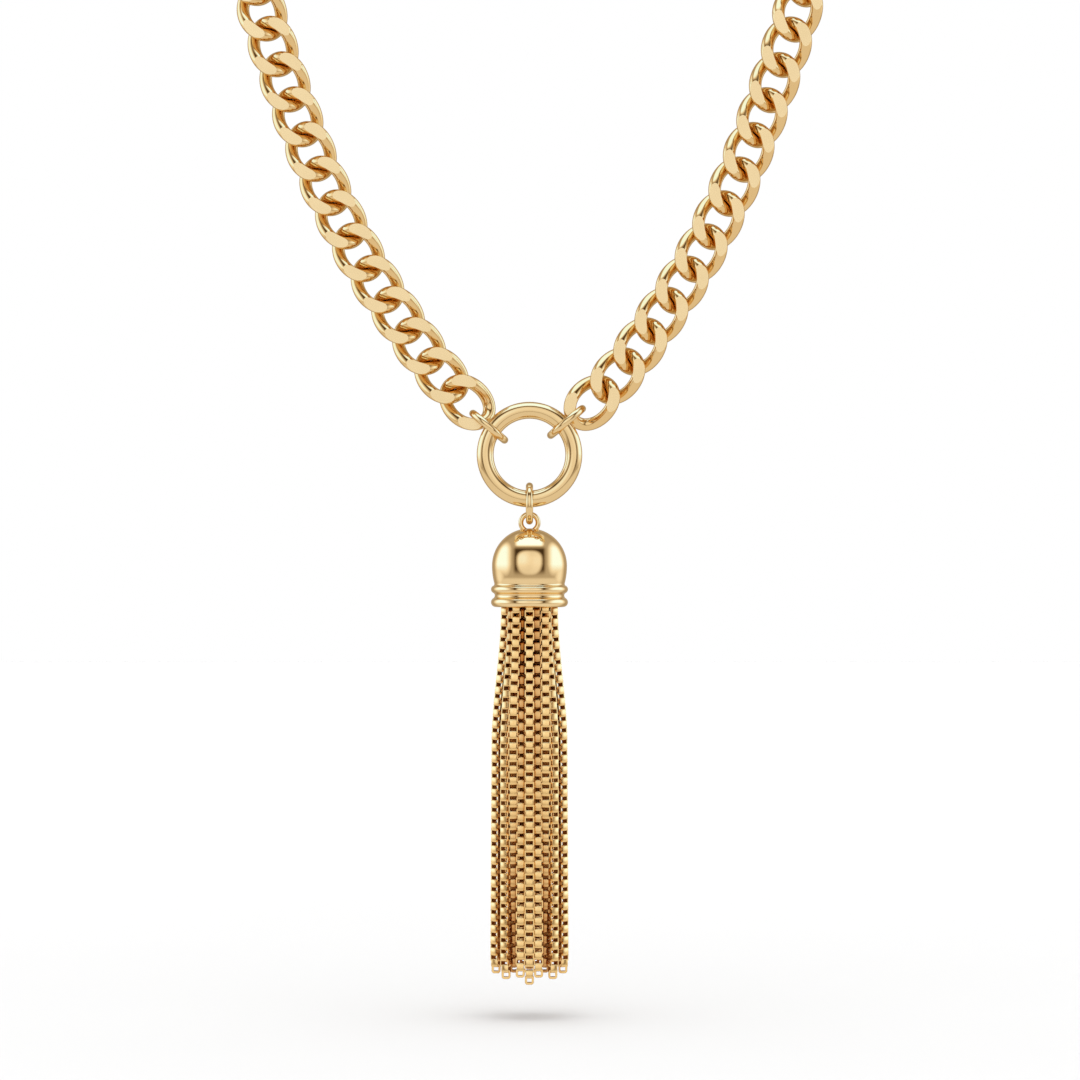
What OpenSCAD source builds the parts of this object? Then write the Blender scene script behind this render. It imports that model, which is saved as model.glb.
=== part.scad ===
// Tassel necklace: a curb chain that meets at a round ring, with a bell-capped tassel of
// box chains below it. Millimetres, +Z up, +X to the wearer's left, front towards -Y.
// The origin is the middle of the clasp's inner face, where the necklace lies on the nape.

/* [Loop] */
// Distance between the middles of the chain where the loop is widest
loop_w = 120; // [108:1:140]
// Distance from the nape back to the plane of the front chain
loop_depth = 100; // [90:1:120]
// Height of the nape above the middle of the centre ring
loop_drop = 128; // [118:1:150]

/* [Curb chain] */
// Spacing of the links along the chain, rounded so that whole links fit the loop
link_pitch = 6.75; // [6.2:0.05:7.6]
// Width of a link across the chain
link_w = 9; // [8.4:0.1:10]
// Thickness of the link's wire
link_wire = 2.2; // [1.9:0.05:2.3]
// Slack between two links pulled tight
link_play = 0.18; // [0.16:0.01:0.25]
// Clearance where the wires of two links cross
link_cross = 0.22; // [0.18:0.01:0.3]
// How much of the wire the polished flats cut away
flat_cut = 0.65; // [0.3:0.05:0.9]

/* [Centre ring] */
// Outer diameter of the centre ring
ring_od = 19; // [17:0.5:23]
// Thickness of the centre ring's tube
ring_tube = 3.05; // [2.6:0.05:3.4]

/* [Jump rings] */
// Thickness of a jump ring's wire
jump_wire = 1.35; // [1:0.05:1.5]
// Room left round the ring's tube and the link's wire inside a jump ring
jump_room = 0.16; // [0.12:0.01:0.3]
// Gap between the centre ring's tube and the last link's wire
jump_nest = 0.5; // [0.4:0.05:0.8]
// Direction from the tube to that wire, turned backwards from straight outwards
jump_turn = 46; // [42:1:52]
// Place of the chains' ends round the centre ring, above the horizontal
chain_angle = 40; // [37:1:44]
// How far the slanting wire pushes the right jump ring up and the left one down the ring
jump_push = 3.5; // [3:0.1:4]
// How far both jump rings sag below the chains' ends
jump_sag = 2; // [1:0.1:2.4]

/* [Bail] */
// Outer diameter of the bail
bail_od = 7.6; // [7.2:0.1:8.6]
// Thickness of the bail's wire
bail_wire = 1.3; // [1.1:0.05:1.4]
// Gap between a hanging ring and what it hangs on
hang_gap = 0.14; // [0.1:0.01:0.2]

/* [Cap] */
// Outer diameter of the eye on top of the cap
eye_od = 4; // [3.9:0.1:4.8]
// Thickness of the eye's wire
eye_wire = 0.9; // [0.8:0.05:1]
// How far the eye's foot is sunk into the dome
eye_sink = 1; // [0.9:0.05:1.1]
// Radius of the dome
dome_r = 6.75; // [6.3:0.05:7.4]
// Height of the cap's waist below the widest part of the dome
waist_h = 3.5; // [3:0.1:4.5]
// How much the waist is drawn in
waist_in = 0.5; // [0.3:0.05:0.7]
// Height of the upper bead
bead_top_h = 1.45; // [1.2:0.05:1.8]
// Height of the lower bead
bead_low_h = 1.7; // [1.4:0.05:2.2]
// Height of the groove between the beads
groove_h = 0.75; // [0.5:0.05:1]
// How far the beads stand out from the waist
bead_out = 0.68; // [0.5:0.02:0.8]
// Diameter of the bore that takes the fringe
bore_d = 10.6; // [10:0.1:11]

/* [Fringe] */
// Length of the longest strand below the cap
fringe_len = 67.2; // [50:0.1:90]
// Radius on which the outer strands hang at their lower ends
fringe_r = 5.9; // [5.6:0.1:6.8]
// Width of a strand
strand_w = 1.5; // [1.3:0.05:1.55]
// Spacing of the links of a strand
strand_pitch = 1.02; // [0.9:0.01:1.2]
// Length over which the strands spread below the cap
flare_h = 25; // [18:1:32]
// Height of the head that the strands are fixed in
head_h = 4.5; // [3.5:0.1:5]
// Height of the head's underside above the cap's rim
head_up = 1.6; // [1:0.1:2]
// Clearance between the head and the bore
head_gap = 0.15; // [0.1:0.01:0.2]

/* [Clasp] */
// Length of the clasp's barrel
clasp_len = 14; // [10:0.5:18]
// Diameter of the clasp's barrel
clasp_d = 7; // [6:0.1:9]
// Radius of the barrel's rounded edges
clasp_round = 1.4; // [0.8:0.1:2.4]
// Thickness of the wire of the clasp's end loops
loop_wire = 1.2; // [1:0.05:1.3]
// Radius of the hole of the clasp's end loops
loop_hole_r = 1.75; // [1.6:0.05:1.9]
// Gap between an end loop and the last link
loop_gap = 0.3; // [0.2:0.05:0.4]

/* [Hidden] */

gold = [0.86, 0.66, 0.36];
round_fn = 96;
wire_fn = 48;

// Names of the columns of a route point
SIDE = 0;
DEPTH = 1;
DROP = 2;
FACING = 3;
LEAN = 4;

// Route of one half of the chain, upwards from the centre ring. Its first and last points
// follow the ring and the clasp, and these lie between them: share of the loop's half
// width, of its depth and of its drop, then the direction that the flats face, turned from
// the front to the side and tipped upwards, in degrees.
ROUTE = [
    [0.430, 1.000, 0.780, 0, 0],
    [0.592, 1.000, 0.645, 0, 0],
    [0.721, 1.000, 0.495, 0, 0],
    [0.824, 1.000, 0.345, 0, 0],
    [0.900, 0.955, 0.203, 12, 10],
    [0.963, 0.830, 0.090, 32, 27],
    [1.000, 0.655, 0.020, 65, 40],
    [0.997, 0.460, -0.004, 98, 38],
    [0.908, 0.275, 0.000, 122, 28],
    [0.742, 0.125, 0.000, 145, 16],
    [0.508, 0.030, 0.000, 166, 6]
];

// Curb link
link_rise = link_wire / 2 + link_cross;
flat_level = link_rise + link_wire / 2 - flat_cut;
half_width = (link_w - link_wire) / 2;
wire_slant = atan2(2 * link_rise, half_width);
start_lean = chain_angle - 12;
steer_len = loop_w / 6;
route_steps = 12;
link_stations = 16;
wire_sides = 6;

// Centre ring and jump rings, in the ring's own plane
ring_r = (ring_od - ring_tube) / 2;
chain_y = clasp_d / 2 - loop_depth;
nest = (ring_tube + link_wire) / 2 + jump_nest;
nest_out = nest * cos(jump_turn);
nest_back = nest * sin(jump_turn);
jump_in_r = (ring_tube / 2 + nest + link_wire / 2) / 2 + jump_room;
jump_r = jump_in_r + jump_wire / 2;
jump_shift = (ring_tube / 2 + nest + link_wire / 2) / 2 - ring_tube / 2;
ring_y = chain_y - nest_back;
ring_z = -loop_drop;

// Bail and cap, downwards from the centre ring
bail_r = (bail_od - bail_wire) / 2;
bail_z = ring_z - ring_r + ring_tube / 2 + hang_gap + bail_wire / 2 - bail_r;
eye_r = (eye_od - eye_wire) / 2;
eye_z = bail_z - bail_r + bail_wire / 2 + hang_gap + eye_wire / 2 - eye_r;
dome_top_z = eye_z - eye_od / 2 + eye_sink;
dome_z = dome_top_z - dome_r;
waist_z = dome_z - waist_h;
waist_r = dome_r - waist_in;
rim_z = waist_z - bead_top_h - groove_h - bead_low_h;
waist_curve_r = (waist_h * waist_h + waist_in * waist_in) / (2 * waist_in);

// Fringe, with the strands' corners just inside the head: half a square's diagonal is 0.71
bore_h = head_up + head_h + head_gap;
bore_below = 1;
head_r = bore_d / 2 - head_gap;
corner_share = 0.72;
strand_top_r = head_r - strand_w * corner_share;

// Clasp and its end loops
loop_r = loop_hole_r + loop_wire / 2;
loop_x = clasp_len / 2 + loop_hole_r;

// Names of the columns of a strand
TOP_ANGLE = 0;
TOP_SHARE = 1;
MID_ANGLE = 2;
MID_SHARE = 3;
LOW_ANGLE = 4;
LOW_SHARE = 5;
SHORTER = 6;
TURN = 7;

// Strands of the fringe. Each has its angle from the front and its share of the radius at
// the cap, the same where the flare ends, the same at the fringe's lower end, how many links
// it is shorter than the longest, and its own turn.
SINGLE_STRANDS = [
    [0, 1.00, 0, 1.00, 0, 1.00, 0, 0],
    [25, 0.70, 18, 0.77, 16.2, 1.00, 1.2, 0],
    [-38, 0.50, -18, 0.77, -16.2, 1.00, 1.2, 0],
    [-36, 1.00, -30, 1.00, -48, 0.60, 1.8, 0],
    [45, 1.00, 30, 1.00, 48, 0.60, 1.8, 0],
    [180, 1.00, 180, 1.00, 180, 1.00, 1.5, 0],
    [0, 0, 0, 0.40, 0, 0.40, 2.6, 45]
];

// Strands that hang on both sides alike
PAIRED_STRANDS = [
    [73, 0.74, 50, 0.93, 45, 1.00, 0.8, 34],
    [90, 1.00, 88, 0.98, 88, 1.02, 1.4, 42],
    [120, 1.00, 135, 1.00, 136, 1.00, 1.8, 40],
    [151, 1.00, 158, 1.00, 158, 1.00, 2.0, 20],
    [98, 0.47, 84, 0.50, 84, 0.50, 2.4, 45],
    [150, 0.50, 160, 0.45, 160, 0.45, 2.8, 45]
];

// A paired strand on the other side
function mirrored(row) = [
    -row[TOP_ANGLE],
    row[TOP_SHARE],
    -row[MID_ANGLE],
    row[MID_SHARE],
    -row[LOW_ANGLE],
    row[LOW_SHARE],
    row[SHORTER],
    -row[TURN]
];

STRANDS = concat(SINGLE_STRANDS, [for (row = PAIRED_STRANDS) each [row, mirrored(row)]]);
FLARE_SECTIONS = 6;

// Route of a chain

function unit(v) = v / norm(v);

function place(p) = [p[0], p[1], p[2]];

function link_half(pitch) = (pitch + link_wire + link_play) / 2;

// First link's middle: its end wire lies in the jump ring, behind the centre ring's tube
function first_out(pitch) = ring_r + nest_out + link_half(pitch);

function route_start(pitch) = [
    first_out(pitch) * cos(chain_angle),
    chain_y,
    ring_z + first_out(pitch) * sin(chain_angle),
    0,
    0
];

// Last link's middle: its end wire lies in the clasp's end loop
function route_end(pitch) = [
    loop_x + loop_hole_r - loop_gap - link_wire / 2 + link_half(pitch),
    clasp_d / 2,
    0,
    180,
    0
];

function route_row(row) = [
    row[SIDE] * loop_w / 2,
    clasp_d / 2 - row[DEPTH] * loop_depth,
    -row[DROP] * loop_drop,
    row[FACING],
    row[LEAN]
];

// The points before the first and after the last one only steer the ends of the curve
function route_points(pitch) = let(
    start = route_start(pitch),
    end = route_end(pitch),
    lead = steer_len * [cos(start_lean), 0, sin(start_lean), 0, 0]
) concat(
    [start - lead, start],
    [for (row = ROUTE) route_row(row)],
    [end, [-end[0], end[1], end[2], end[FACING], end[LEAN]]]
);

function smooth_step(a, b, c, d, t) =
    0.5 * (2 * b + (c - a) * t + (2 * a - 5 * b + 4 * c - d) * t * t
        + (3 * b - a - 3 * c + d) * t * t * t);

function route_curve(points) = [
    for (i = [1 : len(points) - 3], j = [0 : route_steps - 1])
        smooth_step(points[i - 1], points[i], points[i + 1], points[i + 2], j / route_steps),
    points[len(points) - 2]
];

function lengths_along(curve) = [
    for (i = 0, sum = 0; i < len(curve);
         sum = sum + (i + 1 < len(curve) ? norm(place(curve[i + 1]) - place(curve[i])) : 0),
         i = i + 1)
        sum
];

function last(list) = list[len(list) - 1];

// Whole links fill the route, so their spacing is the nearest one that divides it
nominal_curve = route_curve(route_points(link_pitch));
nominal_length = last(lengths_along(nominal_curve));
link_count = round(nominal_length / link_pitch) + 1;
pitch = nominal_length / (link_count - 1);
link_b = link_half(pitch);
curve = route_curve(route_points(pitch));
along = lengths_along(curve);
spacing = last(along) / (link_count - 1);
tables = [for (k = [SIDE : LEAN]) [for (i = [0 : len(curve) - 1]) [along[i], curve[i][k]]]];

function route_at(s) = [for (table = tables) lookup(s, table)];

function facing_vector(p) = [
    sin(p[FACING]) * cos(p[LEAN]),
    -cos(p[FACING]) * cos(p[LEAN]),
    sin(p[LEAN])
];

function flip(v, side) = [v[0] * side, v[1], v[2]];

// One curb link as a ring of wire sections: across the chain, along it, and out of its plane
function wire_middle(t) = [half_width * cos(t), link_b * sin(t), link_rise * sin(2 * t)];

function wire_heading(t) =
    unit([-half_width * sin(t), link_b * cos(t), 2 * link_rise * cos(2 * t)]);

function cut_flat(p) = [p[0], p[1], max(-flat_level, min(flat_level, p[2]))];

function wire_section(t) = let(
    heading = wire_heading(t),
    up = unit([0, 0, 1] - heading[2] * heading),
    out = cross(heading, up)
) [
    for (k = [0 : wire_sides - 1])
        let(angle = 360 * k / wire_sides)
        cut_flat(wire_middle(t) + link_wire / 2 * (cos(angle) * out + sin(angle) * up))
];

link_shape = [for (i = [0 : link_stations - 1]) each wire_section(360 * i / link_stations)];

ring_faces = [
    for (i = [0 : link_stations - 1], k = [0 : wire_sides - 1])
        let(
            i2 = (i + 1) % link_stations,
            k2 = (k + 1) % wire_sides,
            a = i * wire_sides + k,
            b = i * wire_sides + k2,
            c = i2 * wire_sides + k2,
            d = i2 * wire_sides + k
        )
        each [[a, b, c], [a, c, d]]
];

module curb_link(middle, heading, outward) {
    w = unit(outward - (outward * heading) * heading);
    u = cross(heading, w);
    polyhedron([for (p = link_shape) middle + p[0] * u + p[1] * heading + p[2] * w],
               ring_faces, convexity = 6);
}

module half_chain(side) {
    for (i = [0 : link_count - 1]) {
        s = i * spacing;
        here = route_at(s);
        before = place(route_at(max(s - spacing / 2, 0)));
        after = place(route_at(min(s + spacing / 2, last(along))));
        curb_link(flip(place(here), side), unit(flip(after - before, side)),
                  flip(facing_vector(here), side));
    }
}

module torus(r, wire) {
    rotate_extrude($fn = round_fn)
        translate([r, 0])
            circle(d = wire, $fn = wire_fn);
}

module chain_left() {
    color(gold) half_chain(-1);
}

module chain_right() {
    color(gold) half_chain(1);
}

// Stands across the chain, with the tube and the link's wire side by side in its hole
module jump_ring(side) {
    out = ring_r + jump_shift * cos(jump_turn);
    angle = chain_angle - jump_sag + side * jump_push;
    translate([side * out * cos(angle), ring_y + jump_shift * sin(jump_turn),
               ring_z + out * sin(angle)])
        rotate([0, -side * chain_angle, 0])
            torus(jump_r, jump_wire);
}

module jump_ring_left() {
    color(gold) jump_ring(-1);
}

module jump_ring_right() {
    color(gold) jump_ring(1);
}

module centre_ring() {
    color(gold)
        translate([0, ring_y, ring_z])
            rotate([90, 0, 0])
                torus(ring_r, ring_tube);
}

module bail() {
    color(gold)
        translate([0, ring_y, bail_z])
            rotate([0, 90, 0])
                torus(bail_r, bail_wire);
}

module bead(z, h) {
    translate([waist_r + bead_out - h / 2, z - h / 2])
        circle(d = h, $fn = wire_fn);
    translate([0, z - h])
        square([waist_r + bead_out - h / 2, h]);
}

// Half section of the cap, to be turned about its axis
module cap_section() {
    intersection() {
        translate([0, dome_z])
            circle(dome_r, $fn = round_fn);
        translate([0, dome_z])
            square([dome_r, dome_r]);
    }
    intersection() {
        translate([dome_r - waist_curve_r, dome_z])
            circle(waist_curve_r, $fn = round_fn);
        translate([0, waist_z])
            square([dome_r, waist_h]);
    }
    translate([0, rim_z])
        square([waist_r, waist_z - rim_z]);
    bead(waist_z, bead_top_h);
    bead(rim_z + bead_low_h, bead_low_h);
}

module cap() {
    color(gold)
        translate([0, ring_y, 0])
            difference() {
                union() {
                    rotate_extrude($fn = round_fn)
                        cap_section();
                    translate([0, 0, eye_z])
                        rotate([90, 0, 0])
                            torus(eye_r, eye_wire);
                }
                translate([0, 0, rim_z - bore_below])
                    cylinder(d = bore_d, h = bore_h + bore_below, $fn = round_fn);
            }
}

function polar(angle, r) = [r * sin(angle), -r * cos(angle)];

function ease(t) = let(f = max(0, min(1, t))) f * f * (3 - 2 * f);

// Middle of a strand at a depth below the rim. It spreads first and then hangs straight.
function strand_middle(row, depth) = let(
    top = polar(row[TOP_ANGLE], row[TOP_SHARE] * strand_top_r),
    mid = polar(row[MID_ANGLE], row[MID_SHARE] * fringe_r),
    low = polar(row[LOW_ANGLE], row[LOW_SHARE] * fringe_r),
    spread = ease(depth / flare_h),
    fall = max(0, (depth - flare_h) / (fringe_len - flare_h))
) concat(top * (1 - spread) + (mid * (1 - fall) + low * fall) * spread, [-depth]);

function strand_depths(row) = concat(
    [-head_up - head_h / 2],
    [for (i = [0 : FLARE_SECTIONS]) flare_h * i / FLARE_SECTIONS],
    [fringe_len - row[SHORTER] * strand_pitch]
);

function strand_section(row, depth) = let(m = strand_middle(row, depth)) [
    for (k = [0 : 3])
        let(angle = row[TURN] + 45 + 90 * k)
        m + strand_w / sqrt(2) * [cos(angle), sin(angle), 0]
];

module strand(row) {
    depths = strand_depths(row);
    count = len(depths);
    points = [for (depth = depths) each strand_section(row, depth)];
    sides = [
        for (i = [0 : count - 2], k = [0 : 3])
            let(a = 4 * i + k, b = 4 * i + (k + 1) % 4)
            each [[a, b, b + 4], [a, b + 4, a + 4]]
    ];
    top = [[3, 2, 1, 0]];
    bottom = [[for (k = [0 : 3]) 4 * (count - 1) + k]];
    polyhedron(points, concat(top, sides, bottom), convexity = 4);
}

module fringe() {
    color(gold)
        translate([0, ring_y, rim_z]) {
            translate([0, 0, head_up])
                cylinder(r = head_r, h = head_h, $fn = round_fn);
            for (row = STRANDS)
                strand(row);
        }
}

// Half section of the barrel, to be turned about its axis
module barrel_section() {
    flat_r = clasp_d / 2 - clasp_round;
    flat_len = clasp_len - 2 * clasp_round;
    translate([0, -clasp_len / 2])
        square([flat_r, clasp_len]);
    translate([0, -flat_len / 2])
        square([clasp_d / 2, flat_len]);
    for (y = [-flat_len / 2, flat_len / 2])
        translate([flat_r, y])
            circle(clasp_round, $fn = wire_fn);
}

// The end loops lean so that the slanting wire of the last links passes square through them
module clasp() {
    color(gold)
        translate([0, clasp_d / 2, 0]) {
            rotate([0, 90, 0])
                rotate_extrude($fn = round_fn)
                    barrel_section();
            for (side = [-1, 1])
                translate([side * loop_x, 0, 0])
                    rotate([side * wire_slant, 0, 0])
                        torus(loop_r, loop_wire);
        }
}

chain_left();
chain_right();
jump_ring_left();
jump_ring_right();
centre_ring();
bail();
cap();
fringe();
clasp();
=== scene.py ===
import math

import bmesh
import bpy
import numpy as np
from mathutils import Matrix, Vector


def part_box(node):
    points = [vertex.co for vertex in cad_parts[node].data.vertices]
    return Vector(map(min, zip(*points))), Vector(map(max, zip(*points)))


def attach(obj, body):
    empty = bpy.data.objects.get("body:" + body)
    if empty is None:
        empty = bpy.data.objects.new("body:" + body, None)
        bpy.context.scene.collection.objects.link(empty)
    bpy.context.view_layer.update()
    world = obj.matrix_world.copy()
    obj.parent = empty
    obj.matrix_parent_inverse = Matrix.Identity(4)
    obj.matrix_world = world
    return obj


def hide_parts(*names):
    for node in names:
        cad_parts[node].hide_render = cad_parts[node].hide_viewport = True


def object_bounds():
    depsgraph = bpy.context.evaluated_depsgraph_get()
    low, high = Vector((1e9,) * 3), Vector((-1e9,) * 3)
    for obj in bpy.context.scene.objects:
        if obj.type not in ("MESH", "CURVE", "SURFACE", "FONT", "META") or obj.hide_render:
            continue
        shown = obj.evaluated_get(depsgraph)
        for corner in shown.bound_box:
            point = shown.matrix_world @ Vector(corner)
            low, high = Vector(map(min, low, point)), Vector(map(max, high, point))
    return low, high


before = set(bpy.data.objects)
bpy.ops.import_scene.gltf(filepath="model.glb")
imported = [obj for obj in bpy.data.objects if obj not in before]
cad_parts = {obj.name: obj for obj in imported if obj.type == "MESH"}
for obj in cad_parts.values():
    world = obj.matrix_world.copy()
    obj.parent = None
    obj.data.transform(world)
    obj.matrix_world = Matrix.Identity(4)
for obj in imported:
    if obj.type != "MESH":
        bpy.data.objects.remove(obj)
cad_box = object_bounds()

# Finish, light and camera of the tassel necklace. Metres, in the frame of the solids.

MM = 0.001

# Curb link. Its outer sizes and places come from the frame's own links.
LINK_WIRE = 2.3 * MM
LINK_CROSS = 0.22 * MM
FLAT_LIFT = 0.1 * MM
LINK_STATIONS = 80
LINK_SIDES = 20

# Points closer than this are one, and edges that bend more than this are shaded sharp
WELD = 0.001 * MM
SHARP_ANGLE = math.radians(50)

# Box link of the fringe: a flat band bent into a rounded square
BOX_WIDTH = 1.76 * MM
BOX_LENGTH = 1.5 * MM
BAND_THICK = 0.23 * MM
BAND_WIDTH = 1.28 * MM
BAND_EDGE = 0.08 * MM
BAND_CROWN = 0.04 * MM
BOX_CORNER = 0.25 * MM
CORNER_STEPS = 2
# The side of the band's section that faces into the link. Its gold is rougher, as unpolished, and
# darker as painted shade in the link's hollow
INNER_FACE = 4

# The lowest link of a strand is rounder and thicker
END_WIDTH = 1.62 * MM
END_LENGTH = 1.7 * MM
END_THICK = 0.4 * MM
END_CORNER = 0.5 * MM
END_STEPS = 4

# Cap: a dome, a waist drawn in below it, and two beads with a groove between them
DOME_RADIUS = 6.75 * MM
WAIST_HEIGHT = 3.5 * MM
WAIST_IN = 0.5 * MM
WAIST_FILLET = 0.35 * MM
BEAD_TOP = 1.45 * MM
BEAD_LOW = 1.7 * MM
BEAD_OUT = 0.68 * MM
GROOVE = 0.75 * MM
RIM_EDGE = 0.2 * MM
CAP_SIDES = 144
DOME_STEPS = 40
WAIST_STEPS = 16
BEAD_STEPS = 14
FILLET_STEPS = 6
EYE_WIRE = 0.9 * MM
EYE_OUTER = 4.0 * MM
EYE_STEPS = 72
EYE_SIDES = 24

# Fringe. Its strands run as part.scad's do.
STRAND_PITCH = 1.02 * MM
STRAND_WIDTH = 1.5 * MM
FRINGE_LENGTH = 67.2 * MM
FRINGE_RADIUS = 5.9 * MM
FLARE_HEIGHT = 25 * MM
HEAD_RADIUS = 5.15 * MM
HEAD_UP = 1.6 * MM
HEAD_EDGE = 0.23 * MM
BORE_GAP = 0.15 * MM
HEAD_SIDES = 64
# The lowest link of a strand faces front, and its own turn sets in over this many links
UNTWIST_LINKS = 2
# Half the diagonal of a square strand as a share of its width, and a little more
CORNER_SHARE = 0.72

# Names of the columns of a strand
TOP_ANGLE = 0
TOP_SHARE = 1
MID_ANGLE = 2
MID_SHARE = 3
LOW_ANGLE = 4
LOW_SHARE = 5
SHORTER = 6
TURN = 7

# Strands of the fringe. Each has its angle from the front and its share of the radius at the
# cap, the same where the flare ends, the same at the fringe's lower end, how many links it
# is shorter than the longest, and its own turn.
SINGLE_STRANDS = [
    (0, 1.00, 0, 1.00, 0, 1.00, 0, 0),
    (25, 0.70, 18, 0.77, 16.2, 1.00, 1.2, 0),
    (-38, 0.50, -18, 0.77, -16.2, 1.00, 1.2, 0),
    (-36, 1.00, -30, 1.00, -48, 0.60, 1.8, 0),
    (45, 1.00, 30, 1.00, 48, 0.60, 1.8, 0),
    (180, 1.00, 180, 1.00, 180, 1.00, 1.5, 0),
    (0, 0, 0, 0.40, 0, 0.40, 2.6, 45),
]

# Strands that hang on both sides alike
PAIRED_STRANDS = [
    (73, 0.74, 50, 0.93, 45, 1.00, 0.8, 34),
    (90, 1.00, 88, 0.98, 88, 1.02, 1.4, 42),
    (120, 1.00, 135, 1.00, 136, 1.00, 1.8, 40),
    (151, 1.00, 158, 1.00, 158, 1.00, 2.0, 20),
    (98, 0.47, 84, 0.50, 84, 0.50, 2.4, 45),
    (150, 0.50, 160, 0.45, 160, 0.45, 2.8, 45),
]

# Camera: size of a pixel at the centre ring, and the ring's middle in the photo
PIXEL = 0.18 * MM
FRAME_PIXELS = 1080
AXIS_PIXEL_X = 529.5
RING_PIXEL_Y = 454.6
CAMERA_DISTANCE = 720 * MM
CLIP_START = 10 * MM

# Floor, and the floor's own light
FLOOR_GAP = 6.5 * MM
FLOOR_SIZE = 4.0
FLOOR_WHITE = 0.8
FLOOR_SHADE = 0.985
FLOOR_PATCHES = 40
SKY_LIGHT = 4.0
SKY_ANGLE = math.radians(102)

# Golds, as the share of each colour that the metal reflects. The edge is all golds' at grazing
# angles.
GOLD = (0.93, 0.69, 0.37, 1)
CHAIN_GOLD = (0.86, 0.60, 0.285, 1)
RING_GOLD = (0.88, 0.645, 0.335, 1)
FLAT_GOLD = (0.93, 0.725, 0.415, 1)
GOLD_EDGE = (0.95, 0.85, 0.7, 1)
FRINGE_GOLD = (0.99, 0.68, 0.305, 1)
# Painted shade, laid on the fringe's gold towards its axis
PAINTED_SHADE_GOLD = (0.52, 0.19, 0.035, 1)
# Painted shade in the box links' hollows: the darker gold of their inner faces
INNER_SHADE_GOLD = (0.68, 0.29, 0.07, 1)

# Finish of each gold: colour, roughness and how much that varies, the size and strength of
# the fine grain, and the size and strength of the scratches
FINISHES = {
    "chain_polished_gold": (CHAIN_GOLD, 0.08, 0.03, 0.02 * MM, 0.04, 0.03 * MM, 0.05),
    "chain_satin_flats": (FLAT_GOLD, 0.22, 0.04, 0.015 * MM, 0.08, 0.02 * MM, 0.08),
    "ring_polished_gold": (RING_GOLD, 0.08, 0.02, 0.02 * MM, 0.03, 0.03 * MM, 0.04),
    "cap_mirror_gold": (GOLD, 0.07, 0.02, 0.02 * MM, 0.02, 0.03 * MM, 0.03),
    "fringe_polished_gold": (FRINGE_GOLD, 0.20, 0.05, 0.02 * MM, 0.06, 0.03 * MM, 0.06),
    # Inner faces of the box links: rougher unpolished gold, with painted shade in its darker
    # colour
    "fringe_inner_shaded_gold": (INNER_SHADE_GOLD, 0.6, 0.06, 0.02 * MM, 0.06, 0.03 * MM, 0.06),
}

# Patches of finer and coarser polish, and how much darker each colour is in the coarser ones
PATCH_SCALE = 350
PATCH_DETAIL = 3
PATCH_FROM = 0.3
PATCH_TO = 0.7
PATCH_TONE = (0.97, 0.95, 0.9)
GRAIN_DETAIL = 2
SCRATCH_DETAIL = 1
SCRATCH_TURN = (0.4, 0.3, 0.7)
SCRATCH_STRETCH = (1, 0.08, 1)
BUMP_HEIGHT = 0.01 * MM

# Painted shade inside the fringe: shares of its radius at which the gold is painted darkest and no
# longer darker
SHADE_FULL_SHARE = 0.56
SHADE_FREE_SHARE = 0.97
# Light comes in from below, so the painted shade thins there: how far up, and how much of the
# plain gold is kept at the lower end
OPEN_HEIGHT = 36 * MM
OPEN_SHARE = 0.35


# Mesh helpers

def tube_faces(stations, sides):
    """Faces of a closed ring of sections with that many points each."""
    faces = []
    for i in range(stations):
        for k in range(sides):
            i2 = (i + 1) % stations
            k2 = (k + 1) % sides
            faces.append((i * sides + k, i * sides + k2, i2 * sides + k2, i2 * sides + k))
    return faces


def polar(angle, radius):
    """Point at an angle from the front, in degrees, and a distance from the axis."""
    return np.array([math.sin(math.radians(angle)), -math.cos(math.radians(angle))]) * radius


def lathe(section, sides):
    """Points and faces of a section turned about the upright axis."""
    points = []
    for x, z in section:
        points.extend(np.append(polar(360 * k / sides, x), z) for k in range(sides))
    faces = []
    for i in range(len(section) - 1):
        for k in range(sides):
            a = i * sides + k
            b = i * sides + (k + 1) % sides
            faces.append((a, a + sides, b + sides, b))
    return np.array(points), faces, [0] * len(faces)


def new_mesh(name, points, faces, paints=None):
    mesh = bpy.data.meshes.new(name)
    mesh.from_pydata([tuple(p) for p in points], [], faces)
    mesh.polygons.foreach_set("use_smooth", [True] * len(mesh.polygons))
    if paints is not None:
        mesh.polygons.foreach_set("material_index", paints)
    mesh.update()
    return mesh


def new_piece(name, mesh, materials, body, replaced):
    """An object that stands for CAD nodes and moves with their body."""
    piece = bpy.data.objects.new(name, mesh)
    bpy.context.scene.collection.objects.link(piece)
    for material in materials:
        mesh.materials.append(material)
    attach(piece, body)
    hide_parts(*replaced)
    return piece


def repeated(points, faces, paints, places):
    """Points, faces and paints of one shape copied to places, each an origin and three axes."""
    all_points = []
    all_faces = []
    for origin, axes in places:
        offset = len(all_points) * len(points)
        all_points.append(np.asarray(origin) + points @ np.asarray(axes))
        all_faces.extend(tuple(v + offset for v in face) for face in faces)
    return np.concatenate(all_points), all_faces, list(paints) * len(places)


def joined(*shapes):
    """Points, faces and paints of several shapes as one."""
    all_points = []
    all_faces = []
    all_paints = []
    offset = 0
    for points, faces, paints in shapes:
        all_points.append(points)
        all_faces.extend(tuple(v + offset for v in face) for face in faces)
        all_paints.extend(paints)
        offset += len(points)
    return np.concatenate(all_points), all_faces, all_paints


def clean(mesh):
    """Welds points that coincide, turns the faces outwards and marks the sharp edges."""
    work = bmesh.new()
    work.from_mesh(mesh)
    bmesh.ops.remove_doubles(work, verts=work.verts, dist=WELD)
    bmesh.ops.recalc_face_normals(work, faces=work.faces)
    work.to_mesh(mesh)
    work.free()
    mark_sharp(mesh, SHARP_ANGLE)


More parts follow.
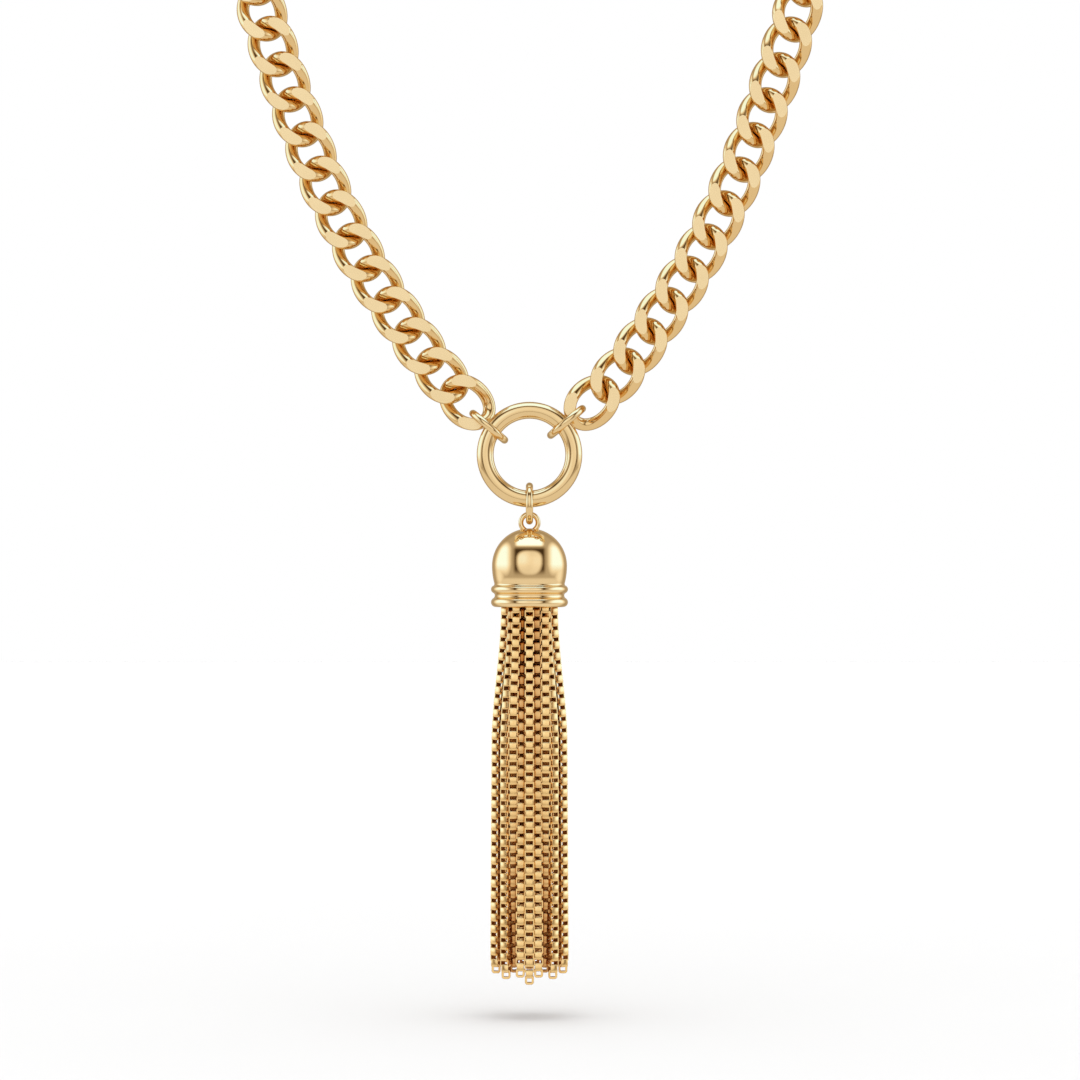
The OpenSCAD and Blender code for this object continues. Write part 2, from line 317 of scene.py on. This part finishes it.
def mark_sharp(mesh, angle):
    """Edges between two paints, and those that bend more than the angle, are shaded sharp."""
    work = bmesh.new()
    work.from_mesh(mesh)
    for edge in work.edges:
        if len(edge.link_faces) == 2:
            a, b = edge.link_faces
            if a.material_index != b.material_index or edge.calc_face_angle(0) > angle:
                edge.smooth = False
    work.to_mesh(mesh)
    work.free()


# Curb chain

def solids_of(node):
    """Corner points of each separate solid of a CAD node."""
    work = bmesh.new()
    work.from_mesh(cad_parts[node].data)
    bmesh.ops.remove_doubles(work, verts=work.verts, dist=WELD)
    seen = set()
    solids = []
    for first in work.verts:
        if first in seen:
            continue
        seen.add(first)
        waiting = [first]
        found = []
        while waiting:
            vertex = waiting.pop()
            found.append(tuple(vertex.co))
            for edge in vertex.link_edges:
                other = edge.other_vert(vertex)
                if other not in seen:
                    seen.add(other)
                    waiting.append(other)
        solids.append(np.array(found))
    work.free()
    return solids


def link_place(points):
    """Middle of a link, and its axes: across, along and out of its plane."""
    middle = points.mean(0)
    axes = np.linalg.eigh(np.cov((points - middle).T))[1]
    across = axes[:, 1]
    along = axes[:, 2]
    return middle, np.array([across, along, np.cross(across, along)])


def unit(v):
    return v / np.linalg.norm(v)


def link_shape(half_width, half_length, flat_level):
    """A link bent from round wire and twisted flat, with its front and back cut flat."""
    rise = LINK_WIRE / 2 + LINK_CROSS
    points = []
    for i in range(LINK_STATIONS):
        t = 2 * math.pi * i / LINK_STATIONS
        middle = np.array([half_width * math.cos(t), half_length * math.sin(t),
                           rise * math.sin(2 * t)])
        heading = unit(np.array([-half_width * math.sin(t), half_length * math.cos(t),
                                 2 * rise * math.cos(2 * t)]))
        up = unit(np.array([0, 0, 1]) - heading[2] * heading)
        out = np.cross(heading, up)
        for k in range(LINK_SIDES):
            angle = 2 * math.pi * (k + 0.5) / LINK_SIDES
            points.append(middle + LINK_WIRE / 2 * (math.cos(angle) * out + math.sin(angle) * up))
    work = bmesh.new()
    mesh = new_mesh("link", points, tube_faces(LINK_STATIONS, LINK_SIDES))
    work.from_mesh(mesh)
    bpy.data.meshes.remove(mesh)
    for side in (1, -1):
        cut = bmesh.ops.bisect_plane(
            work, geom=work.verts[:] + work.edges[:] + work.faces[:],
            plane_co=(0, 0, side * flat_level), plane_no=(0, 0, side), clear_outer=True)
        rim = [e for e in cut["geom_cut"] if isinstance(e, bmesh.types.BMEdge)]
        flats = bmesh.ops.holes_fill(work, edges=rim, sides=0)
        for face in flats["faces"]:
            face.material_index = 1
    bmesh.ops.recalc_face_normals(work, faces=work.faces)
    work.verts.index_update()
    shape = (np.array([v.co for v in work.verts]),
             [tuple(v.index for v in f.verts) for f in work.faces],
             [f.material_index for f in work.faces])
    work.free()
    return shape


def make_chain(side, materials):
    """One half of the chain: the same link in the place of each link of the CAD chain."""
    node = "chain_" + side
    solids = solids_of(node)
    places = [link_place(points) for points in solids]
    middle, axes = places[0]
    reach = np.abs((solids[0] - middle) @ axes.T).max(0)
    shape = link_shape(reach[0] - LINK_WIRE / 2, reach[1] - LINK_WIRE / 2,
                       reach[2] + FLAT_LIFT)
    mesh = new_mesh("curb_" + node, *repeated(*shape, places))
    mark_sharp(mesh, SHARP_ANGLE)
    return new_piece("curb_" + node, mesh, materials, "necklace", [node])


# Fringe of box chain

def box_link_shape(width, length, thick, corner_radius, steps):
    """A flat band bent round into a rounded square: across, then through, then along."""
    half = np.array([width / 2, length / 2])
    section = [
        (-BAND_WIDTH / 2, -BAND_CROWN),
        (-BAND_WIDTH / 2 + BAND_EDGE, 0),
        (BAND_WIDTH / 2 - BAND_EDGE, 0),
        (BAND_WIDTH / 2, -BAND_CROWN),
        (BAND_WIDTH / 2, -thick),
        (-BAND_WIDTH / 2, -thick),
    ]
    points = []
    for corner in range(4):
        turn = math.pi / 4 + corner * math.pi / 2
        sign = np.sign([math.cos(turn), math.sin(turn)])
        centre = sign * (half - corner_radius)
        for step in range(steps + 1):
            angle = turn - math.pi / 4 + math.pi / 2 * step / steps
            away = np.array([math.cos(angle), math.sin(angle)])
            for through, depth in section:
                x, z = centre + (corner_radius + depth) * away
                points.append((x, through, z))
    stations = 4 * (steps + 1)
    # The inner face takes the second material, darkened as painted shade
    paints = [int(k == INNER_FACE) for k in range(len(section))] * stations
    return np.array(points), tube_faces(stations, len(section)), paints


def mirrored(row):
    """A paired strand on the other side."""
    return [-row[k] if k in (TOP_ANGLE, MID_ANGLE, LOW_ANGLE, TURN) else row[k]
            for k in range(len(row))]


def strand_middle(row, depth):
    """Middle of a strand at a depth below the rim. It spreads first and then hangs straight."""
    top = polar(row[TOP_ANGLE], row[TOP_SHARE] * (HEAD_RADIUS - STRAND_WIDTH * CORNER_SHARE))
    mid = polar(row[MID_ANGLE], row[MID_SHARE] * FRINGE_RADIUS)
    low = polar(row[LOW_ANGLE], row[LOW_SHARE] * FRINGE_RADIUS)
    f = min(1, max(0, depth / FLARE_HEIGHT))
    spread = f * f * (3 - 2 * f)
    fall = max(0, (depth - FLARE_HEIGHT) / (FRINGE_LENGTH - FLARE_HEIGHT))
    return np.append(top * (1 - spread) + (mid * (1 - fall) + low * fall) * spread, -depth)


def strand_places(row, origin):
    """Places of a strand's links, upwards from the lowest, whose hole faces outwards."""
    places = []
    depth = FRINGE_LENGTH - row[SHORTER] * STRAND_PITCH - BOX_LENGTH / 2
    while depth > -HEAD_UP - BOX_LENGTH / 2:
        middle = strand_middle(row, depth)
        along = unit(strand_middle(row, depth - STRAND_PITCH) - middle)
        eased = min(1, len(places) / UNTWIST_LINKS)
        turn = math.radians(row[TURN] * eased + 90 * (len(places) % 2))
        aside = np.array([math.cos(turn), math.sin(turn), 0])
        through = unit(np.cross(along, aside))
        places.append((origin + middle, np.array([np.cross(through, along), through, along])))
        depth -= STRAND_PITCH
    return places


def head_section(top):
    """Half section of the round head that holds the strands, from its middle and back to it."""
    return [
        (0, HEAD_UP),
        (HEAD_RADIUS - HEAD_EDGE, HEAD_UP),
        (HEAD_RADIUS, HEAD_UP + HEAD_EDGE),
        (HEAD_RADIUS, top - HEAD_EDGE),
        (HEAD_RADIUS - HEAD_EDGE, top),
        (0, top),
    ]


def cap_place():
    """Middle of the cap's rim, and how far the fringe's head reaches up from it."""
    low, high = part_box("cap")
    rim = np.array([(low.x + high.x) / 2, (low.y + high.y) / 2, low.z])
    return rim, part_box("fringe")[1].z - low.z


def make_fringe(materials):
    """The strands of box chain and the head inside the cap, as one mesh."""
    origin, top = cap_place()
    link = box_link_shape(BOX_WIDTH, BOX_LENGTH, BAND_THICK, BOX_CORNER, CORNER_STEPS)
    end = box_link_shape(END_WIDTH, END_LENGTH, END_THICK, END_CORNER, END_STEPS)
    rows = SINGLE_STRANDS + PAIRED_STRANDS + [mirrored(row) for row in PAIRED_STRANDS]
    strands = [strand_places(row, origin) for row in rows]
    head = lathe(head_section(top), HEAD_SIDES)
    mesh = new_mesh("box_chain_fringe", *joined(
        repeated(*link, [place for strand in strands for place in strand[1:]]),
        repeated(*end, [strand[0] for strand in strands]),
        repeated(*head, [(origin, np.eye(3))])))
    clean(mesh)
    # Both fringe golds get painted shade, darker towards the axis
    for material in materials:
        paint_shade_inside(material, origin)
    return new_piece("box_chain_fringe", mesh, materials, "tassel", ["fringe"])


# Cap

def arc(middle, radius, first, last, steps):
    """Points on an arc of a half section, between two angles from level."""
    points = []
    for i in range(steps + 1):
        angle = math.radians(first + (last - first) * i / steps)
        points.append((middle[0] + radius * math.cos(angle), middle[1] + radius * math.sin(angle)))
    return points


def bearing(start, end):
    """Angle from level, in degrees, of the way from one point to another."""
    return math.degrees(math.atan2(end[1] - start[1], end[0] - start[0]))


def touching(a, reach_a, b, reach_b):
    """Point at those distances from two points, on the left of the way from a to b."""
    gap = math.dist(a, b)
    along = (reach_a ** 2 - reach_b ** 2 + gap ** 2) / (2 * gap)
    aside = math.sqrt(reach_a ** 2 - along ** 2)
    x = (b[0] - a[0]) / gap
    z = (b[1] - a[1]) / gap
    return (a[0] + along * x - aside * z, a[1] + along * z + aside * x)


def cap_section(bore_radius, bore_height):
    """Half section of the cap above its rim, from the dome's top round to the bore's end."""
    waist_radius = DOME_RADIUS - WAIST_IN
    waist_z = BEAD_LOW + GROOVE + BEAD_TOP
    dome_z = waist_z + WAIST_HEIGHT
    curve = (WAIST_HEIGHT ** 2 + WAIST_IN ** 2) / (2 * WAIST_IN)
    waist = (DOME_RADIUS - curve, dome_z)
    top_bead = (waist_radius - BEAD_TOP / 2 + BEAD_OUT, waist_z - BEAD_TOP / 2)
    fillet = touching(waist, curve + WAIST_FILLET, top_bead, BEAD_TOP / 2 + WAIST_FILLET)
    waist_end = bearing(waist, fillet)
    bead_start = bearing(top_bead, fillet)
    points = arc((0, dome_z), DOME_RADIUS, 90, 0, DOME_STEPS)
    points += arc(waist, curve, 0, waist_end, WAIST_STEPS)[1:]
    points += arc(fillet, WAIST_FILLET, 180 + waist_end, 180 + bead_start, FILLET_STEPS)[1:]
    for high, height, side in ((waist_z, BEAD_TOP, 1), (BEAD_LOW, BEAD_LOW, -1)):
        radius = height / 2
        inward = radius - BEAD_OUT
        rise = GROOVE / 2 + radius
        hollow = (inward ** 2 + rise ** 2 - radius ** 2) / (2 * BEAD_OUT)
        meet = math.degrees(math.atan2(rise, hollow + inward))
        bead = ((waist_radius - inward, high - radius), radius)
        groove = ((waist_radius + hollow, BEAD_LOW + GROOVE / 2), hollow)
        if side > 0:
            points += arc(*bead, bead_start, -meet, BEAD_STEPS)
            points += arc(*groove, 180 - meet, 180, FILLET_STEPS)
        else:
            points += arc(*groove, 180, 180 + meet, FILLET_STEPS)
            points += arc(*bead, meet, -90, BEAD_STEPS)
    points += [(bore_radius + RIM_EDGE, 0), (bore_radius, RIM_EDGE), (bore_radius, bore_height)]
    return points + [(0, bore_height)]


def ring_shape(radius, wire, steps, sides):
    """Points and faces of a wire ring that faces front."""
    points = []
    for i in range(steps):
        turn = 2 * math.pi * i / steps
        for k in range(sides):
            angle = 2 * math.pi * k / sides
            out = radius + wire / 2 * math.cos(angle)
            points.append((out * math.cos(turn), wire / 2 * math.sin(angle),
                           out * math.sin(turn)))
    faces = tube_faces(steps, sides)
    return np.array(points), faces, [0] * len(faces)


def make_cap(materials):
    """The bell with its two beads and its bore, and the eye on top, as one mesh."""
    origin, top = cap_place()
    body = lathe(cap_section(HEAD_RADIUS + BORE_GAP, top + BORE_GAP), CAP_SIDES)
    eye = ring_shape((EYE_OUTER - EYE_WIRE) / 2, EYE_WIRE, EYE_STEPS, EYE_SIDES)
    eye[0][:, 2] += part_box("cap")[1].z - origin[2] - EYE_OUTER / 2
    points, faces, paints = joined(body, eye)
    mesh = new_mesh("bell_cap", points + origin, faces, paints)
    clean(mesh)
    return new_piece("bell_cap", mesh, materials, "tassel", ["cap"])


# Materials

def add_node(tree, kind, **values):
    """A node with values for its settings, and for its inputs by their names."""
    node = tree.nodes.new(kind)
    for key, value in values.items():
        if key in node.inputs:
            node.inputs[key].default_value = value
        else:
            setattr(node, key, value)
    return node


def maths(tree, operation, a, b):
    node = add_node(tree, "ShaderNodeMath", operation=operation)
    for socket, value in zip(node.inputs, (a, b)):
        if isinstance(value, (int, float)):
            socket.default_value = value
        else:
            tree.links.new(value, socket)
    return node.outputs[0]


def vector_maths(tree, operation, a, b):
    """A vector operation on a socket and a plain vector, or on the socket alone."""
    node = add_node(tree, "ShaderNodeVectorMath", operation=operation)
    tree.links.new(a, node.inputs[0])
    if b is not None:
        node.inputs[1].default_value = b
    return node.outputs["Value" if operation == "LENGTH" else "Vector"]


def ramp(tree, value, start, end, low, high, kind="SMOOTHSTEP"):
    """A number that goes from low to high as the value goes from start to end."""
    node = add_node(tree, "ShaderNodeMapRange", interpolation_type=kind)
    for name, number in (("From Min", start), ("From Max", end), ("To Min", low),
                         ("To Max", high)):
        node.inputs[name].default_value = number
    tree.links.new(value, node.inputs["Value"])
    return node.outputs["Result"]


def noise(tree, place, scale, detail):
    node = add_node(tree, "ShaderNodeTexNoise", Scale=scale, Detail=detail)
    tree.links.new(place, node.inputs["Vector"])
    return node.outputs["Fac"]


def bump(tree, height, strength):
    node = add_node(tree, "ShaderNodeBump", Strength=strength, Distance=BUMP_HEIGHT)
    tree.links.new(height, node.inputs["Height"])
    return node


def gold_material(name, colour, rough, rough_spread, grain_size, grain, scratch_size, scratch):
    """Gold with patches of finer and coarser polish, a fine grain and faint scratches."""
    material = bpy.data.materials.new(name)
    material.use_nodes = True
    tree = material.node_tree
    link = tree.links.new
    shader = tree.nodes["Principled BSDF"]
    shader.inputs["Metallic"].default_value = 1
    shader.inputs["Specular Tint"].default_value = GOLD_EDGE
    place = add_node(tree, "ShaderNodeTexCoord").outputs["Object"]

    patches = noise(tree, place, PATCH_SCALE, PATCH_DETAIL)
    polish = ramp(tree, patches, PATCH_FROM, PATCH_TO, rough - rough_spread, rough + rough_spread,
                  "LINEAR")
    link(polish, shader.inputs["Roughness"])
    tone = add_node(tree, "ShaderNodeMixRGB", Color1=colour)
    tone.inputs["Color2"].default_value = [c * t for c, t in zip(colour, PATCH_TONE)] + [1]
    link(patches, tone.inputs["Fac"])
    link(tone.outputs["Color"], shader.inputs["Base Color"])

    stretch = add_node(tree, "ShaderNodeMapping", Rotation=SCRATCH_TURN, Scale=SCRATCH_STRETCH)
    link(place, stretch.inputs["Vector"])
    fine = noise(tree, place, 1 / grain_size, GRAIN_DETAIL)
    lines = noise(tree, stretch.outputs["Vector"], 1 / scratch_size, SCRATCH_DETAIL)
    grain_bump = bump(tree, fine, grain)
    line_bump = bump(tree, lines, scratch)
    link(grain_bump.outputs["Normal"], line_bump.inputs["Normal"])
    link(line_bump.outputs["Normal"], shader.inputs["Normal"])
    return material


def paint_shade_inside(material, origin):
    """Paints shade into a fringe's material: its gold turns darker towards the fringe's axis, and
    less so near the lower end.
    """
    tree = material.node_tree
    tone = tree.nodes["Principled BSDF"].inputs["Base Color"]
    place = add_node(tree, "ShaderNodeTexCoord").outputs["Object"]
    from_rim = vector_maths(tree, "SUBTRACT", place, tuple(origin))
    level = vector_maths(tree, "MULTIPLY", from_rim, (1, 1, 0))
    height = add_node(tree, "ShaderNodeSeparateXYZ")
    tree.links.new(from_rim, height.inputs[0])
    reach = ramp(tree, height.outputs["Z"], 0, -FLARE_HEIGHT, HEAD_RADIUS,
                 FRINGE_RADIUS + BOX_WIDTH / 2)
    share = maths(tree, "DIVIDE", vector_maths(tree, "LENGTH", level, None), reach)
    painted_shade = add_node(tree, "ShaderNodeMixRGB", Color1=PAINTED_SHADE_GOLD)
    outward = ramp(tree, share, SHADE_FULL_SHARE, SHADE_FREE_SHARE, 0, 1)
    opened = ramp(tree, height.outputs["Z"], OPEN_HEIGHT - FRINGE_LENGTH, -FRINGE_LENGTH, 0,
                  OPEN_SHARE)
    tree.links.new(maths(tree, "MAXIMUM", outward, opened), painted_shade.inputs["Fac"])
    tree.links.new(tone.links[0].from_socket, painted_shade.inputs["Color2"])
    tree.links.new(painted_shade.outputs["Color"], tone)


def paint(node, material):
    """Gives a CAD node its material."""
    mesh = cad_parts[node].data
    mesh.materials.clear()
    mesh.materials.append(material)


# Studio

def smooth_band(tree, value, low, high, soft):
    """1 where the value lies between low and high, with soft edges that wide."""
    half = soft / 2
    rise = ramp(tree, value, low - half, low + half, 0, 1)
    fall = ramp(tree, value, high + half, high - half, 0, 1)
    return maths(tree, "MULTIPLY", rise, fall)


# The studio is painted as it shows in a mirror ball that hangs in the necklace's place, seen
# from the front. Each row has the left, right, lower and upper edge of a light as shares of the
# ball's radius, its brightness, and the width of its soft edges to the sides and up and down.
LIGHTS = [
    (-1.40, -0.50, -0.12, 0.62, 1.50, 0.30, 0.36),
    (0.50, 1.40, -0.12, 0.62, 1.50, 0.30, 0.36),
    (-1.40, -0.66, -0.30, 0.10, 1.05, 0.30, 0.22),
    (0.66, 1.40, -0.30, 0.10, 1.05, 0.30, 0.22),
    (-0.38, 0.38, 0.52, 0.84, 1.60, 0.18, 0.12),
    (-0.90, 0.90, -1.30, -0.16, 0.84, 0.40, 0.10),
]
# Black panel behind the camera, and the round pale screen in its middle
PANEL = (-0.41, 0.41, -0.10, 0.48)
PANEL_SOFT = 0.12
PANEL_LIGHT = 0.04
# Ovals: middle to the side and up, radii, brightness and the width of the soft edge. The
# shines are brighter places in the screen.
SCREEN = (0, 0.13, 0.335, 0.275, 0.84, 0.36)
SHINES = [
    (-0.19, 0.19, 0.16, 0.17, 0.42, 1.6),
    (0.20, 0.13, 0.16, 0.17, 0.24, 1.6),
]
# Power of the ovals' outline: 2 is an ellipse, and more is squarer
SQUARENESS = 2.8
# Brightness between the lights
GAP_LIGHT = 0.48
# Dim line round the ball, just inside the backdrop that shows at its edge
LINE_LIGHT = 0.36
LINE_EDGE = 0.90
LINE_SOFT = 0.13
BACKDROP = 0.48
BACKDROP_EDGE = 0.955
BACKDROP_SOFT = 0.03
# Far outside the ball: the open end of a band
OUTSIDE = 9
# Dim light is warmer, as between gold things, and bright light is whiter: powers of the
# brightness for red and for blue, below 1 and above
DIM_POWERS = (-0.13, 0.19)
BRIGHT_POWERS = (-0.8, 0.8)
DIMMEST = 0.02
BRIGHTEST = 2


def make_world():
    """Soft boxes left, right and above, a panel behind the camera and a pale backdrop."""
    world = bpy.data.worlds.new("studio")
    bpy.context.scene.world = world
    world.use_nodes = True
    tree = world.node_tree
    tree.nodes.clear()
    link = tree.links.new

    # The point of the ball that mirrors a direction to the front lies halfway between them
    direction = add_node(tree, "ShaderNodeTexCoord").outputs["Generated"]
    facing = vector_maths(tree, "ADD", direction, (0, -1, 0))
    ball = vector_maths(tree, "NORMALIZE", facing, None)
    split = add_node(tree, "ShaderNodeSeparateXYZ")
    link(ball, split.inputs[0])
    x = split.outputs["X"]
    z = split.outputs["Z"]
    level = vector_maths(tree, "MULTIPLY", ball, (1, 0, 1))
    radius = vector_maths(tree, "LENGTH", level, None)

    def box(left, right, low, high, soft_x, soft_z):
        return maths(tree, "MULTIPLY", smooth_band(tree, x, left, right, soft_x),
                     smooth_band(tree, z, low, high, soft_z))

    def oval(middle_x, middle_z, radius_x, radius_z, bright, soft):
        total = 0
        for place, middle, reach in ((x, middle_x, radius_x), (z, middle_z, radius_z)):
            off = maths(tree, "DIVIDE", maths(tree, "SUBTRACT", place, middle), reach)
            power = maths(tree, "POWER", maths(tree, "ABSOLUTE", off, 0), SQUARENESS)
            total = maths(tree, "ADD", power, total)
        away = maths(tree, "POWER", total, 1 / SQUARENESS)
        inside = smooth_band(tree, away, -OUTSIDE, 1, soft)
        return maths(tree, "MULTIPLY", inside, bright)

    def over(below, share, bright):
        kept = maths(tree, "MULTIPLY", below, maths(tree, "SUBTRACT", 1, share))
        return maths(tree, "ADD", kept, maths(tree, "MULTIPLY", share, bright))

    total = GAP_LIGHT
    for left, right, low, high, bright, soft_x, soft_z in LIGHTS:
        share = box(left, right, low, high, soft_x, soft_z)
        total = maths(tree, "MAXIMUM", total, maths(tree, "MULTIPLY", share, bright))
    total = over(total, box(*PANEL, PANEL_SOFT, PANEL_SOFT), PANEL_LIGHT)
    screen = oval(*SCREEN)
    for shine in SHINES:
        screen = maths(tree, "ADD", screen, maths(tree, "MULTIPLY", oval(*shine), screen))
    total = maths(tree, "MAXIMUM", total, screen)
    total = over(total, smooth_band(tree, radius, LINE_EDGE, OUTSIDE, LINE_SOFT), LINE_LIGHT)
    total = over(total, smooth_band(tree, radius, BACKDROP_EDGE, OUTSIDE, BACKDROP_SOFT),
                 BACKDROP)

    dim = maths(tree, "MINIMUM", maths(tree, "MAXIMUM", total, DIMMEST), 1)
    bright = maths(tree, "MINIMUM", maths(tree, "MAXIMUM", total, 1), BRIGHTEST)
    warm = add_node(tree, "ShaderNodeCombineColor", Green=1)
    for name, dim_power, bright_power in zip(("Red", "Blue"), DIM_POWERS, BRIGHT_POWERS):
        tint = maths(tree, "MULTIPLY", maths(tree, "POWER", dim, dim_power),
                     maths(tree, "POWER", bright, bright_power))
        link(tint, warm.inputs[name])
    studio = add_node(tree, "ShaderNodeBackground")
    link(total, studio.inputs["Strength"])
    link(warm.outputs["Color"], studio.inputs["Color"])
    plain = add_node(tree, "ShaderNodeBackground")
    plain.inputs["Color"].default_value = (1, 1, 1, 1)
    choice = add_node(tree, "ShaderNodeMixShader")
    link(add_node(tree, "ShaderNodeLightPath").outputs["Is Camera Ray"], choice.inputs["Fac"])
    link(studio.outputs[0], choice.inputs[1])
    link(plain.outputs[0], choice.inputs[2])
    link(choice.outputs[0], add_node(tree, "ShaderNodeOutputWorld").inputs["Surface"])
    # The warm and uneven studio is for the metal, and doesn't light the floor
    world.cycles_visibility.diffuse = False


def make_sky():
    """The floor's own soft light, from above, which the gold doesn't mirror."""
    light = bpy.data.lights.new("sky", "SUN")
    light.energy = SKY_LIGHT
    light.angle = SKY_ANGLE
    sky = bpy.data.objects.new("sky", light)
    bpy.context.scene.collection.objects.link(sky)
    sky.visible_glossy = False
    sky.visible_camera = False


def make_floor():
    """A plain pale floor below the fringe, which the gold doesn't mirror."""
    height = cad_box[0][2] - FLOOR_GAP
    side = FLOOR_SIZE / 2
    mesh = new_mesh("floor", [(-side, -side, height), (side, -side, height), (side, side, height),
                              (-side, side, height)], [(0, 1, 2, 3)])
    floor = bpy.data.objects.new("floor", mesh)
    bpy.context.scene.collection.objects.link(floor)
    material = bpy.data.materials.new("white_floor")
    material.use_nodes = True
    tree = material.node_tree
    shader = tree.nodes["Principled BSDF"]
    shader.inputs["Roughness"].default_value = 1
    shader.inputs["Specular IOR Level"].default_value = 0
    patches = add_node(tree, "ShaderNodeTexNoise", Scale=FLOOR_PATCHES)
    shade = add_node(tree, "ShaderNodeMixRGB")
    shade.inputs["Color1"].default_value = [FLOOR_WHITE] * 3 + [1]
    shade.inputs["Color2"].default_value = [FLOOR_SHADE * FLOOR_WHITE] * 3 + [1]
    tree.links.new(patches.outputs["Fac"], shade.inputs["Fac"])
    tree.links.new(shade.outputs["Color"], shader.inputs["Base Color"])
    mesh.materials.append(material)
    floor.visible_glossy = False


def make_camera():
    """Level, in front of the ring, with the photo's scale at the ring's own distance."""
    low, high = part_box("centre_ring")
    ring = (low + high) / 2
    camera = bpy.data.objects.new("camera", bpy.data.cameras.new("camera"))
    bpy.context.scene.collection.objects.link(camera)
    half = FRAME_PIXELS / 2
    camera.location = Vector((ring.x + (half - AXIS_PIXEL_X) * PIXEL, ring.y - CAMERA_DISTANCE,
                              ring.z - (half - RING_PIXEL_Y) * PIXEL))
    camera.rotation_euler = (math.pi / 2, 0, 0)
    camera.data.sensor_fit = "HORIZONTAL"
    camera.data.angle = 2 * math.atan(half * PIXEL / CAMERA_DISTANCE)
    camera.data.clip_start = CLIP_START
    bpy.context.scene.camera = camera


golds = {name: gold_material(name, *finish) for name, finish in FINISHES.items()}
for side in ("left", "right"):
    make_chain(side, [golds["chain_polished_gold"], golds["chain_satin_flats"]])
make_fringe([golds["fringe_polished_gold"], golds["fringe_inner_shaded_gold"]])
make_cap([golds["cap_mirror_gold"]])
for node in ("jump_ring_left", "jump_ring_right", "centre_ring", "bail"):
    paint(node, golds["ring_polished_gold"])
paint("clasp", golds["chain_polished_gold"])
make_world()
make_sky()
make_floor()
make_camera()
bpy.context.scene.view_settings.view_transform = "Standard"

bpy.context.view_layer.update()
